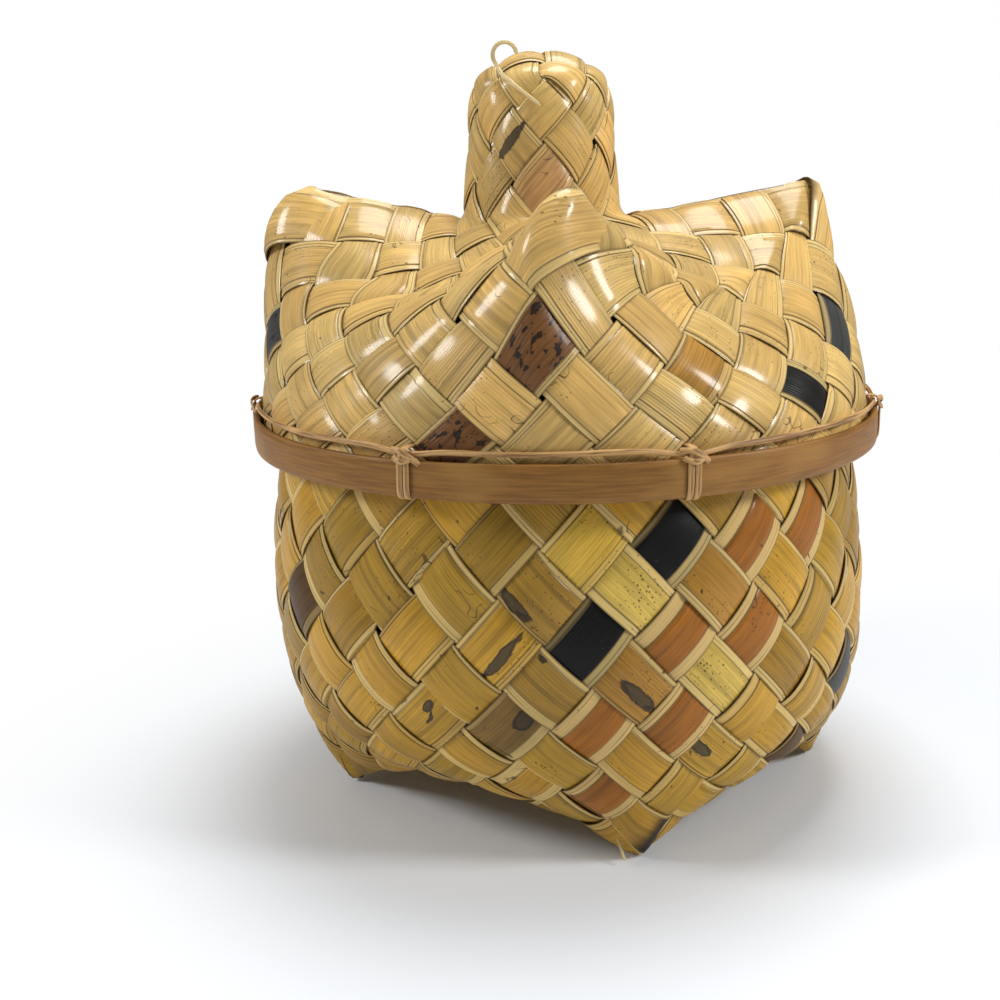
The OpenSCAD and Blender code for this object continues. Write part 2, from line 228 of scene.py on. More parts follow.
cluster = wire.noise(along * 30, across * 50, seed * 19, 1.0).within(0.52, 0.6)
speck = dots(640, 0.42, 0.14, 0.3) * cluster
speck = wire.math("MAXIMUM", speck, dots(560, 0.6, 0.18, 0.36) * (1 - specks.within(0.6, 1.3)))
spot = dots(120, 0.2, 0.06, 0.11)
worm_noise = wire.noise(along * 120, across * 150, seed * 29, 1.0)
worm_place = wire.noise(along * 34, across * 50, seed * 43).within(0.64, 0.68)
worm = (1 - abs(worm_noise - 0.5).within(0.008, 0.022)) * worm_place
ragged_scar = scar + 0.9 * (wire.noise(along * 200, across * 320, seed) - 0.5)
scar_fill = 1 - ragged_scar.within(0.9, 1.0)
scar_line = 1 - abs(ragged_scar - 1.0).within(0.05, 0.2)
black_mottle = wire.noise(along * 210, across * 300, seed * 13, 4.0).within(0.56, 0.6) * mottle
print("with marks:", len(splint_finish.node_tree.nodes), "nodes")

# %% Splint: colours
# The third colour paints shade along the strips' edges and seams, and also colours the second layer line.
WORM_BROWN, BLOTCH_GREY, SHADE_AND_LINE_BROWN = linear(58, 36, 16), linear(62, 51, 34), linear(52, 30, 12)
RIDGES_PER_M, SECOND_LINE_M = 4800, 0.0098
BAND_CREAM, DRY_GREY, MOTTLE_BLACK = linear(224, 194, 126), linear(120, 104, 82), linear(26, 22, 20)
light_skin = skin.split()[0].within(0.03, 0.5)
ridge = wire.math("SINE", across * RIDGES_PER_M + 3 * grain)
ridge = ridge * wire.noise(along * 12, across * 20, seed * 7, 1.0).within(0.46, 0.56)
top = skin.scaled(0.55 + 0.9 * grain).scaled(0.84 + 0.32 * fine_grain).scaled(0.72 + 0.56 * cloud)
# The ridges also paint light and shade into the colour: a little lighter on their crests, darker between them.
top = top.scaled(1 + 0.06 * ridge)
top = top.tint(skin.scaled(0.5), 0.6 * streak)
dry = wire.noise(along * 20, across * 700, seed * 91, 2.0).within(0.56, 0.7) * light_skin
top = top.tint(DRY_GREY, 0.16 * dry)
top = top.tint(MOTTLE_BLACK, 0.9 * black_mottle)
cream = skin.tint(BAND_CREAM, 0.75).scaled(0.76 + 0.48 * grain)
colour = top.tint(cream, band)
colour = colour.tint(WORM_BROWN, 0.8 * speck)
colour = colour.tint(WORM_BROWN, 0.85 * spot)
colour = colour.tint(WORM_BROWN, 0.7 * worm)
colour = colour.tint(BLOTCH_GREY, 0.9 * scar_fill)
colour = colour.tint(MOTTLE_BLACK, 0.85 * scar_line)
second_line = 1 - abs(abs(across) - SECOND_LINE_M).within(0.00008, 0.0003)
second_line = second_line * wire.noise(along * 14, seed * 3, seed * 17, 1.0).within(0.45, 0.55)
colour = colour.tint(SHADE_AND_LINE_BROWN, 0.6 * second_line)
# Painted shade: dark along the seam at the foot of the skin's step and along the outer edges, where the next
# splint shades them.
colour = colour.tint(SHADE_AND_LINE_BROWN, 0.8 * seam_shade)
colour = colour.tint(SHADE_AND_LINE_BROWN, 0.9 * edge)
feed("Base Color", colour)

# %% Splint: gloss and relief
feed("Roughness", 0.42 + 0.16 * grain + 0.12 * band + 0.1 * cloud - 0.12 * gloss)
feed("Specular IOR Level", 0.22)
feed("Coat Weight", 0.42 * light_skin * gloss)
feed("Coat Roughness", 0.16)
height = 0.6 * grain + 0.3 * fine_grain + 0.22 * ridge - 0.5 * speck
height = height - 0.4 * worm - 0.3 * streak - 0.5 * scar_fill
feed("Normal", height.bump(0.45, 0.0005))
print("splint finish:", len(splint_finish.node_tree.nodes), "nodes")

# %% [markdown]
# ## Cane and lashing finishes
# The hoops are split cane: brown, satin, with fine grain round the hoop. They are turned shapes, so the angle
# round the basket's axis and the height are enough for the grain. The seam of that angle lies at the back.
# The lashing and the strand are peeled root or cane, paler, with grain along their own map.

# %% Cane finish
cane_finish, wire, feed = new_finish("split_cane")
x, y, z = wire.node("ShaderNodeTexCoord", out="Object").split()
round_way = wire.math("ARCTAN2", x, -1 * y)
cane_grain = wire.noise(round_way * 6, z * 900, x * 0, 3.0)
cane_fine = wire.noise(round_way * 30, z * 2600, x * 0, 1.0)
cane_cloud = wire.noise(x * 22, y * 22, z * 40, 2.0)
CANE_BROWN, CANE_DARK, CANE_PALE = linear(150, 103, 44), linear(98, 62, 24), linear(170, 126, 64)
cane = wire.blend(cane_grain.within(0.3, 0.7), CANE_DARK, CANE_BROWN).tint(CANE_BROWN, 0.4)
cane = cane.tint(CANE_PALE, 0.55 * cane_cloud.within(0.5, 0.7)).scaled(0.88 + 0.24 * cane_fine)
feed("Base Color", cane)
feed("Roughness", 0.36 + 0.2 * cane_grain)
feed("Specular IOR Level", 0.3)
cane_height = 0.6 * cane_grain + 0.4 * cane_fine
feed("Normal", cane_height.bump(0.3, 0.0005))
print("cane finish:", len(cane_finish.node_tree.nodes), "nodes")

# %% Lashing finish
lash_finish, wire, feed = new_finish("lashing_root")
along, across, _ = wire.node("ShaderNodeUVMap", {"uv_map": "UVMap"}).split()
lash_grain = wire.noise(along * 60, across * 9, 0.5, 3.0)
lash_cloud = wire.noise(along * 45, across * 2, 2.5, 2.0)
LASH_TAN, LASH_DARK = linear(200, 156, 96), linear(124, 84, 44)
lash = wire.blend(lash_grain.within(0.32, 0.62), LASH_DARK, LASH_TAN)
feed("Base Color", lash.scaled(0.8 + 0.4 * lash_cloud))
feed("Roughness", 0.42 + 0.2 * lash_grain)
feed("Normal", lash_grain.bump(0.4, 0.0004))
print("finishes", [m.name for m in (splint_finish, cane_finish, lash_finish)])

# %% [markdown]
# ## The plaited surface
# A splint lies straight in the plaiting and bends only with the basket, so the shape is a map from plaiting
# units to space. c is how far a splint lies off the middle and x how far along it a point is. The sizes are
# the CAD model's, in millimetres, apart from the knob, which is a little slimmer and rounder at its shoulder.
# Working on whole arrays keeps this quick.

# %% Sizes of the plaited surface
MM = 0.001
HALF, KNOB_HALF = 3, 1
BASE_ROWS, KNOB_ROWS, LID_ROWS = 5.25, 2, 3.25
RING_ROWS = HALF - KNOB_HALF
RIM_CROWD = 0.26
BOTTOM_HALF, FOOT_R, ARCH_Z, BOTTOM_Z, TIP_DROP = 88, 106, 23, 42, 0.8
BASE_EDGE = (BOTTOM_HALF, FOOT_R, ARCH_Z, -TIP_DROP)
BASE_DRAWS = ((145, 35), (140, 55), (127.2, 122), (117, 178))
BASE_TURN, BOTTOM_SHIFT, BOTTOM_SQUEEZE = 11, (10, -15), 0.2
TOP_HALF, PEAK_R, SADDLE_Z, PEAK_Z = 84, 107, 221, 262
LID_EDGE = (TOP_HALF, PEAK_R, SADDLE_Z, PEAK_Z)
RIM_R, RIM_Z = 129.0, 154
LID_DRAWS = ((104, 213), (126, 240), (RIM_R + 0.2, 188), (RIM_R, RIM_Z))
LID_TURN, LID_TWIST, LID_SWAY = 3, -5.5, 7
KNOB_R, KNOB_WAIST_R, KNOB_FOOT_R = 25.8, 27.6, 33.2
KNOB_Z, KNOB_DOME, KNOB_FOOT_Z, KNOB_SHIFT = 303, 10, 246, 8
KNOB_CURVE = ((KNOB_R, KNOB_Z), (31.6, 290), (KNOB_WAIST_R, 267), (KNOB_FOOT_R, KNOB_FOOT_Z))
PAST_EDGE = 1.05
print("plaiting of", 4 * HALF, "splints each way")


# %% Curves and plans
def mix(p, q, t):
    return p + (q - p) * t


def bezier(p, t):
    s = 1 - t
    return s**3 * p[0] + 3 * s * s * t * p[1] + 3 * s * t * t * p[2] + t**3 * p[3]


def roundness(corner_r, width):
    return 2 - (corner_r / width) ** 2


def side_plan(width, e, v):
    return width * np.sqrt(1 - e * v * v / 2), width * v * np.sqrt(1 - e / 2)


def quilt(width, e, u, v):
    return width * u * np.sqrt(1 - e * v * v / 2), width * v * np.sqrt(1 - e * u * u / 2)


def points(x, y, z, twist=0.0, right=0.0, back=0.0, squeeze=0.0):
    """Points of the surface, and how they are set once their family is mirrored."""
    return np.array(np.broadcast_arrays(x, y, z, twist, right, back, squeeze), float)


foot_corner = np.hypot(*side_plan(BOTTOM_HALF, roundness(FOOT_R, BOTTOM_HALF), 1.0))
print("corner of the bottom", round(float(foot_corner), 1), "mm from its middle")


# %% Walls and bottom
def wall(s, t, wall_edge, draws):
    """A wall hangs on the edge of a rounded square and ends in a circle."""
    width, corner_r, side_z, corner_z = wall_edge
    n = np.mod(s, 8 * HALF)
    i = np.floor(n / (2 * HALF))
    v = n / HALF - 2 * i - 1
    px, py = side_plan(width, roundness(corner_r, width), v)
    angle = mix(np.arctan2(py, px), math.pi / 4 * v, 1 - (1 - t) ** 2) + math.pi / 2 * i
    side, corner, draw, end = draws
    q = v * v
    r = bezier((np.hypot(px, py), mix(side[0], corner[0], q), draw[0], end[0]), t)
    z = bezier((mix(side_z, corner_z, q), mix(side[1], corner[1], q), draw[1], end[1]), t)
    return r * np.cos(angle), r * np.sin(angle), z


def base_wall(s, h):
    t = h / BASE_ROWS
    low = (1 - t) ** 3
    shift_x, shift_y = low * BOTTOM_SHIFT[0], low * BOTTOM_SHIFT[1]
    return points(*wall(s, t, BASE_EDGE, BASE_DRAWS), 0.0, shift_x, shift_y, low * BOTTOM_SQUEEZE)


def lid_wall(s, h):
    u = h / LID_ROWS
    t = u * (1 + RIM_CROWD * (1 - u))
    sway = LID_SWAY * t * (1 - t) ** 3 * 256 / 27  # t (1 - t)^3 is 27 / 256 at most
    return points(*wall(s, t, LID_EDGE, LID_DRAWS), LID_TWIST * (1 - (1 - t) ** 4), -sway)


def base_floor(a, b):
    u, v = (np.clip(value / HALF, -PAST_EDGE, PAST_EDGE) for value in (a, b))
    uu, vv = u * u, v * v
    z = BOTTOM_Z * (1 - uu) * (1 - vv) + ARCH_Z * (uu + vv - 2 * uu * vv) - TIP_DROP * uu * vv
    plan = quilt(BOTTOM_HALF, roundness(FOOT_R, BOTTOM_HALF), u, v)
    return points(*plan, z, 0.0, *BOTTOM_SHIFT, BOTTOM_SQUEEZE)


print("mouth of the base at", base_wall(np.zeros(1), BASE_ROWS)[:3, 0].round(1).tolist(), "mm")


# %% Lid top and knob
def knob_top(a, b):
    u, v = (np.clip(value / KNOB_HALF, -PAST_EDGE, PAST_EDGE) for value in (a, b))
    return points(*quilt(KNOB_R, 1, u, v), KNOB_Z + KNOB_DOME * (1 - u * u) * (1 - v * v), 0.0, -KNOB_SHIFT)


def knob_wall(s, g):
    n = np.mod(s, 8 * KNOB_HALF)
    i = np.floor(n / (2 * KNOB_HALF))
    px, py = side_plan(1, 1, n / KNOB_HALF - 2 * i - 1)
    angle = np.arctan2(py, px) + math.pi / 2 * i
    r, z = (bezier([p[k] for p in KNOB_CURVE], g / KNOB_ROWS) for k in (0, 1))
    return points(r * np.cos(angle), r * np.sin(angle), z, 0.0, -KNOB_SHIFT)


def lid_ring(i, b, rho):
    """The lid's top round the knob: side i, b along the side, rho out from the middle."""
    t, v = (rho - KNOB_HALF) / RING_ROWS, np.clip(b / rho, -PAST_EDGE, PAST_EDGE)
    e = mix(1, roundness(PEAK_R, TOP_HALF), t)
    px, py = side_plan(mix(KNOB_FOOT_R, TOP_HALF, t), e, v)
    angle = math.pi / 2 * i
    z = mix(KNOB_FOOT_Z, SADDLE_Z, t) + (PEAK_Z - SADDLE_Z) * v * v * t
    rx, ry = px * np.cos(angle) - py * np.sin(angle), px * np.sin(angle) + py * np.cos(angle)
    return points(rx, ry, z, 0.0, -KNOB_SHIFT * (1 - t) ** 2)


print("top of the knob at", knob_top(np.zeros(1), np.zeros(1))[2, 0], "mm")


# %% The way of a splint over the surface
def rows_over(c, x, n):
    return (np.abs(x) - (2 * n - np.abs(c))) / 2


def edge_s(c, x, n):
    return np.where(x > 0, np.where(c > 0, c, 8 * n + c), 4 * n - c)


def drift(c, x, h):
    return np.where(c * x > 0, -h, h)


def base_point(c, x):
    h = rows_over(c, x, HALF)
    over = np.maximum(h, 0)
    on_wall = base_wall(edge_s(c, x, HALF) + drift(c, x, over), over)
    return np.where(h > 0, on_wall, base_floor((c + x) / 2, (c - x) / 2))


def lid_point(c, x):
    h, a, b = rows_over(c, x, HALF), (c + x) / 2, (c - x) / 2
    over = np.maximum(h, 0)
    first = np.abs(a) >= np.abs(b)
    i = np.where(first, np.where(a > 0, 0, 2), np.where(b > 0, 1, 3))
    along_side = np.where(first, np.where(a > 0, b, -b), np.where(b > 0, -a, a))
    rho = np.minimum(np.maximum(np.abs(a), np.abs(b)), HALF)
    on_wall = lid_wall(edge_s(c, x, HALF) + drift(c, x, over), over)
    return np.where(h > 0, on_wall, lid_ring(i, along_side, rho))


def knob_point(c, x):
    g = rows_over(c, x, KNOB_HALF)
    s = edge_s(c, x, KNOB_HALF) + drift(c, x, np.clip(g, 0, KNOB_ROWS))
    n = np.mod(s, 8 * KNOB_HALF)
    i = np.floor(n / (2 * KNOB_HALF))
    out = np.maximum(g - KNOB_ROWS, 0)
    b = n - 2 * KNOB_HALF * i - KNOB_HALF + drift(c, x, np.minimum(out, RING_ROWS))
    past = np.maximum(out - RING_ROWS, 0)
    on_wall = lid_wall(2 * HALF * i + b + HALF + drift(c, x, past), past)
    on_ring = lid_ring(i, b, KNOB_HALF + np.minimum(out, RING_ROWS))
    on_knob = np.where(g <= 0, knob_top((c + x) / 2, (c - x) / 2), knob_wall(s, np.clip(g, 0, KNOB_ROWS)))
    return np.where(g <= KNOB_ROWS, on_knob, np.where(out <= RING_ROWS, on_ring, on_wall))


way_heights = knob_point(np.full(4, 0.5), np.array([0.0, 5.0, 9.0, 15.0]))[2]
print("heights along a splint over the knob", way_heights.round(1).tolist(), "mm")


# %% [markdown]
# Folds of the CAD surface are sharp. Real splints bend over them, so a point of the finer strip is an average
# over its neighbours, which rounds every fold by a few millimetres. Splints that go round or over a peak of the
# lid get a rounding of their own.

# %% Points and normals in space
WAYS = {"base": base_point, "lid": lid_point, "knob": knob_point}
WIDEST = {"base": (0, 2 * HALF), "lid": (2 * KNOB_HALF, 2 * HALF), "knob": (0, 2 * KNOB_HALF)}
SOFTEN, SLOPE_STEP, SLIM = 0.13, 0.04, 0.001
PEAK_SOFTEN = {"base": 0, "lid": 0.2, "knob": 0.07}
TAPS_C, TAPS_X = ((-1, 1), (0, 2), (1, 1)), ((-1.6, 1), (-0.8, 2), (0, 2), (0.8, 2), (1.6, 1))
TAPS_WEIGHT = 32
PEAK_X = 2 * (KNOB_ROWS + RING_ROWS) + 2 * KNOB_HALF + 0.1
PEAK_WIDTH, ROUND_LENGTH, FOLD_LENGTH = 1.1, 0.9, 0.6


def placed(kind, mirrored, c, x):
    px, py, z, twist, shift_x, shift_y, squeeze = WAYS[kind](c, x)
    angle = np.radians((BASE_TURN if kind == "base" else LID_TURN) - 45 + twist)
    py = -py if mirrored else py
    rx, ry = px * np.cos(angle) - py * np.sin(angle), px * np.sin(angle) + py * np.cos(angle)
    return np.array([rx + shift_x, ry * (1 - squeeze) + shift_y, z])


def near_peak(kind, c, x):
    """1 where a lid splint goes round or over a peak, and 0 well away from it."""
    if kind == "lid":
        return np.clip(2 * (np.abs(c) - 2 * HALF + PEAK_WIDTH), 0, 1) * np.exp(-((x / ROUND_LENGTH) ** 2))
    if kind == "knob":
        from_fold = (np.abs(x) - PEAK_X) / FOLD_LENGTH
        return np.clip(2 * (PEAK_WIDTH - np.abs(c)), 0, 1) * np.exp(-(from_fold**2))
    return 0


def softened(kind, mirrored, c, x):
    low, high = WIDEST[kind]
    total = 0
    soft_x = SOFTEN + PEAK_SOFTEN[kind] * near_peak(kind, c, x)
    for step_c, wc in TAPS_C:
        near = np.sign(c) * np.clip(np.abs(c + step_c * SOFTEN), low + SLIM, high - SLIM)
        for step_x, wx in TAPS_X:
            total = total + wc * wx * placed(kind, mirrored, near, x + step_x * soft_x)
    return total / TAPS_WEIGHT


def outward(kind, mirrored, c, x):
    dc = softened(kind, mirrored, c + SLOPE_STEP, x) - softened(kind, mirrored, c - SLOPE_STEP, x)
    dx = softened(kind, mirrored, c, x + SLOPE_STEP) - softened(kind, mirrored, c, x - SLOPE_STEP)
    n = np.cross(dc.T, dx.T).T * out_sign(kind, mirrored)
    return n / np.linalg.norm(n, axis=0)


def out_sign(kind, mirrored):
    return -1 if (kind == "base") == mirrored else 1


front_foot = placed("base", False, np.array([0.01]), np.array([6.0]))[:, 0]
print("foot of the basket at", front_foot.round(1).tolist(), "mm")

# %% [markdown]
# ## Colours and scars of the splints
# Most splints are straw yellow. Some were cut from darker bark along a part of their length: black, rust brown,
# and on the lid purple brown or grey. Two dark stretches at the feet are painted shade, not bark: a near-black
# one where the front foot opens, and an umber one under the right foot. Each entry names a splint, its stretch
# of x with that skin, and the colour. Bands are the shares of a strip's half width that the pale layer takes at
# its two edges. Scars and clusters of specks are listed as x, place across, and half length and half width in
# millimetres.

# %% Skins and scars
STRAW_LID, STRAW_BASE = linear(210, 173, 101), linear(188, 144, 44)
# The umber is the colour of a stretch of bark, and also painted shade under the right foot.
BLACK_BARK, UMBER_BARK_AND_SHADE, RUST_BARK = linear(7, 5, 3), linear(88, 60, 26), linear(158, 96, 22)
PLUM_BARK, GREY_BARK, TAN_BARK = linear(118, 78, 42), linear(60, 60, 58), linear(172, 124, 46)
GOLD, PALE_GOLD, OLIVE = linear(208, 168, 62), linear(214, 180, 84), linear(160, 122, 44)
# The first colour on the next line is painted shade, for the opening at the front foot.
FOOT_OPENING_SHADE, DUN, ROSE_TAN = linear(40, 26, 12), linear(124, 94, 42), linear(196, 152, 96)
SKINS = (
    ("base_splint_a3", 7.5, 11.5, BLACK_BARK),
    ("base_splint_a3", 5.5, 7.5, DUN),
    ("base_splint_a4", 6.5, 12.5, RUST_BARK),
    ("base_splint_a5", 5.5, 13.5, RUST_BARK),
    ("base_splint_b5", -11.5, -9.5, UMBER_BARK_AND_SHADE),
    ("base_splint_a2", 8.5, 10.5, GOLD),
    ("base_splint_a9", 9.5, 11.5, OLIVE),
    ("base_splint_a9", 7.5, 9.5, TAN_BARK),
    ("base_splint_a8", 8.5, 10.5, OLIVE),
    ("base_splint_a10", 6.5, 10.5, PALE_GOLD),
    ("base_splint_a11", 7.5, 9.5, TAN_BARK),
    # Painted shade: a near-black stretch where the front foot opens.
    ("base_splint_a7", 5.7, 6.5, FOOT_OPENING_SHADE),
    ("base_splint_b11", 4.6, 6.4, GREY_BARK),
    # Painted shade under the right foot, in the umber colour.
    ("base_splint_b11", 2.6, 4.4, UMBER_BARK_AND_SHADE),
    ("knob_splint_a8", 2.6, 4.4, ROSE_TAN),
    ("knob_splint_b5", 10.5, 14.5, PLUM_BARK),
    ("lid_splint_b11", 4.5, 6.5, BLACK_BARK),
    ("knob_splint_a6", -13.5, -11.5, GREY_BARK),
    ("lid_splint_b9", -7.5, -5.5, GREY_BARK),
    ("lid_splint_a10", 4.5, 6.5, TAN_BARK),
)
BANDS = {"base_splint_a4": (0.44, 0.5), "base_splint_a5": (0.42, 0.36), "knob_splint_b5": (0.2, 0.3)}
MOTTLED = ("knob_splint_b5", "lid_splint_b9", "lid_splint_b11")
SCARS = {
    "base_splint_a9": ((10.75, -0.7, 8, 2), (8.35, -0.2, 9, 2.6), (6.86, -0.1, 6, 2.4)),
    "base_splint_a2": ((7.4, 0.3, 11, 2), (5.84, -0.3, 3, 1.9), (5.66, 0.0, 2.4, 1.2), (6.02, -0.02, 1.6, 1.3)),
    "base_splint_a8": ((9.88, 0.7, 2.4, 1.2),),
    "base_splint_a3": ((6.9, 0.1, 5, 3.4),),
    "knob_splint_a5": ((2.47, 0.0, 2.3, 13),),
    "knob_splint_b5": ((8.9, 0.5, 3.0, 1.2),),
}

SPECKS = {
    "base_splint_a10": ((9.4, 0.27, 9, 7), (7.8, 0.0, 7, 5)),
    "base_splint_a5": ((10.76, -0.2, 8, 5), (7.9, 0.1, 6, 5)),
    "base_splint_a7": ((8.6, -0.3, 8, 4),),
    "knob_splint_a5": ((6.68, 0.14, 11, 5),),
    "knob_splint_b5": ((11.3, 0.4, 6, 5), (13.2, 0.0, 7, 6)),
    "knob_splint_a6": ((10.5, -0.2, 8, 6),),
}
print(len(SKINS), "dark or bright stretches,", len(SCARS), "scarred splints")

# %% [markdown]
# ## Splints
# A splint starts as a primitive grid. Its points go to their place on the surface, lifted where the splint
# passes over another and lowered where it passes under. The section is stepped: the skin lies on a wider, paler
# layer. Solidify gives the strip its thickness. A single strip could be bent with a lattice, but 48 of them
# follow one rule, so the rule moves the points.

# %% A grid whose points are moved
SEED = 11
rng = np.random.default_rng(SEED)
print("random draws from seed", SEED)


def shaped_grid(name, along_parts, across_parts, place):
    """A primitive grid, its points moved to place(u, v), where u and v go from -1 to 1."""
    bpy.ops.object.select_all(action="DESELECT")
    bpy.ops.mesh.primitive_grid_add(x_subdivisions=along_parts, y_subdivisions=across_parts, size=2)
    piece = bpy.context.object
    piece.name = piece.data.name = name
    flat = np.empty(3 * len(piece.data.vertices), np.float32)
    piece.data.vertices.foreach_get("co", flat)
    u, v = flat[0::3].astype(float), flat[1::3].astype(float)
    piece.data.vertices.foreach_set("co", np.ascontiguousarray(place(u, v).T * MM, np.float32).ravel())
    piece.data.update()
    return piece, u, v


def set_map(piece, u, v):
    """Gives the piece's map u along it and v across it, in metres, point by point."""
    corners = np.empty(len(piece.data.loops), np.int32)
    piece.data.loops.foreach_get("vertex_index", corners)
    piece.data.uv_layers[0].data.foreach_set("uv", np.stack([u, v], 1)[corners].astype(np.float32).ravel())


def set_attribute(piece, name, values, kind="FLOAT"):
    layer = piece.data.attributes.new(name, kind, "POINT")
    field = "color" if kind == "FLOAT_COLOR" else "value"
    layer.data.foreach_set(field, np.ascontiguousarray(values, np.float32).ravel())


def apply(piece, kind, **settings):
    bpy.context.view_layer.objects.active = piece
    modifier = piece.modifiers.new(kind.lower(), kind)
    for key, value in settings.items():
        setattr(modifier, key, value)
    bpy.ops.object.modifier_apply(modifier=modifier.name)


# %% [markdown]
# The section comes first: an edge, a flat band, and the bowed skin between two bands. Its places across the
# strip depend on how wide the two bands are.

# %% Section of a splint
COVER = 0.985
UNIT_MM = 23.7
EDGE_TOP, BAND_TOP, SKIN_TOP, CROWN = -0.1, 0.1, 0.5, 0.25
EDGE_FROM, SEAM_W = 0.93, 0.035
SKIN_COLUMNS = 8
BAND_WIDTHS, BAND_PALENESS = [0.16, 0.24, 0.32, 0.4], [0.35, 0.6, 0.85, 1.0]


def strip_section(left, right_band):
    """Places across a strip, from -1 to 1, and the height of its section there."""
    inner = np.linspace(-1 + left, 1 - right_band, SKIN_COLUMNS)
    first = [inner[0] - 2 * SEAM_W, inner[0] - SEAM_W]
    last = [inner[-1] + SEAM_W, inner[-1] + 2 * SEAM_W]
    columns = np.concatenate([[-1, -EDGE_FROM], first, inner, last, [EDGE_FROM, 1]])
    bow = SKIN_TOP + CROWN * (1 - np.linspace(-1, 1, SKIN_COLUMNS) ** 2)
    foot = [EDGE_TOP, BAND_TOP, BAND_TOP, BAND_TOP]
    return np.maximum.accumulate(columns), np.concatenate([foot, bow, foot[::-1]])


print("a section has", len(strip_section(0.2, 0.2)[0]), "columns")

# %% [markdown]
# A splint rises over each crossing and dips under the next, a little unevenly. At the corners it departs from
# that: splints that fold over a peak stand off it like a hood, those that go round it dip under the hood, and
# those round a foot tuck in. Rounding the folds has lifted the feet, so their tips are let down to the floor.

# %% Weave of a splint
WEAVE, WEAVE_FLATNESS = {"base": 1.6, "lid": 1.35, "knob": 1.35}, 1.25
PEAK_HOOD, PEAK_DIP, FOOT_TUCK, CORNER_LENGTH = 3.6, 2.0, 2.4, 0.95
FOOT_DROP, FOOT_FADE = 1.3, 6.0
UNEVEN, TILT, PEAK_CROSSING = 0.1, 0.18, PEAK_X + 0.4


def crossing(mirrored, c, x):
    """Counts crossings along a splint. The two families pass over at every other one."""
    return c + x + (1 if mirrored else 0)


def weave_lift(kind, mirrored, c, cs, x, w, wave):
    """How far a splint stands off the surface's middle, in millimetres."""
    phase = -np.cos(math.pi * crossing(mirrored, c, x))
    lift = WEAVE[kind] * np.tanh(WEAVE_FLATNESS * phase) / math.tanh(WEAVE_FLATNESS)
    lift = lift * (1 + UNEVEN * np.sin(1.3 * x + wave)) + TILT * w * np.sin(0.9 * x + wave)
    if kind == "base" and abs(c) > 2 * HALF - 1:
        lift = lift - FOOT_TUCK * np.exp(-((x / CORNER_LENGTH) ** 2))
    if kind == "lid":
        lift = lift - PEAK_DIP * near_peak(kind, cs, x)
    if kind == "knob":
        over_peak = np.cos(math.pi * crossing(mirrored, c, np.sign(x) * PEAK_CROSSING)) < 0
        lift = lift + PEAK_HOOD * over_peak * near_peak(kind, c, x)
    return lift


def on_weave(kind, mirrored, cs, x, height):
    place = softened(kind, mirrored, cs, x) + height * outward(kind, mirrored, cs, x)
    if kind == "base":
        place[2] -= FOOT_DROP * np.exp(-((place[2] / FOOT_FADE) ** 2))
    return place


print("weave", WEAVE, "mm either way")

# %% [markdown]
# Each strip then gets its own look: masks across it, marks along it, and a skin whose tone changes from cell to
# cell, because a cell is the stretch that shows between two crossings.

# %% Look of a splint
GLOSS = {"base": 0.45, "lid": 1.0, "knob": 1.0}
CELL_TONES = {"base": (0.66, 1.16), "lid": (0.8, 1.14), "knob": (0.8, 1.14)}
STRIP_TONES, CELL_WARMTHS, CELLS = (0.92, 1.08), (0.97, 1.06), 64
UNMARKED, SKIN_FADE = 9.0, 0.25


def set_masks(piece, v, paleness):
    """Masks across the strip: its pale bands, and painted shade along the seams beside them and along its
    outermost edges.
    """
    skin_row = np.zeros(SKIN_COLUMNS)
    rows = {
        "band": ([paleness[0]] * 4, skin_row, [paleness[1]] * 4),
        "seam_shade": ([0, 0, 0, 1], skin_row, [1, 0, 0, 0]),
        "edge": ([1, 0, 0, 0], skin_row, [0, 0, 0, 1]),
    }
    for mask, sides in rows.items():
        row = np.concatenate(sides)
        set_attribute(piece, mask, np.interp(v, np.linspace(-1, 1, len(row)), row))


def set_marks(piece, name, x, w):
    """How far each point lies from the nearest scar or cluster, in half lengths and half widths."""
    for mask, marks in (("scar", SCARS), ("specks", SPECKS)):
        distance = np.full(len(x), UNMARKED)
        for mark_x, mark_w, half_length, half_width in marks.get(name, ()):
            off_x = (x - mark_x) * UNIT_MM / half_length
            off_w = (w - mark_w) * COVER / 2 * UNIT_MM / half_width
            distance = np.minimum(distance, np.hypot(off_x, off_w))
        set_attribute(piece, mask, distance)


def set_skin(piece, name, kind, x, cell):
    """Straw colour that changes from cell to cell, and the skins listed for this splint."""
    tone = rng.uniform(*CELL_TONES[kind], CELLS)[cell] * rng.uniform(*STRIP_TONES)
    warmth = rng.uniform(*CELL_WARMTHS, CELLS)[cell]
    straw = np.array(STRAW_BASE if kind == "base" else STRAW_LID)
    skin_colour = straw * np.stack([tone * warmth, tone, tone / warmth, np.ones(len(x))], 1)
    marked = np.zeros(len(x))
    for owner, first, last, colour in SKINS:
        if owner == name:
            share = np.clip(np.minimum(x - first, last - x) / SKIN_FADE, 0, 1)[:, None]
            skin_colour = mix(skin_colour, np.array(colour), share)
            marked = np.maximum(marked, share[:, 0])
    set_attribute(piece, "mottle", marked * (name in MOTTLED))
    set_attribute(piece, "skin", np.clip(skin_colour, 0, 1), "FLOAT_COLOR")


print("tones from cell to cell", CELL_TONES)

# %% One splint
STRIP_THICKNESS, STRIP_CREASE = 0.55 * MM, math.radians(40)
PARTS_PER_UNIT, END_AIR = 8, 0.02
CUT_FROM, WANDER, WIDEST_HALF = 0.93, 0.012, 0.498


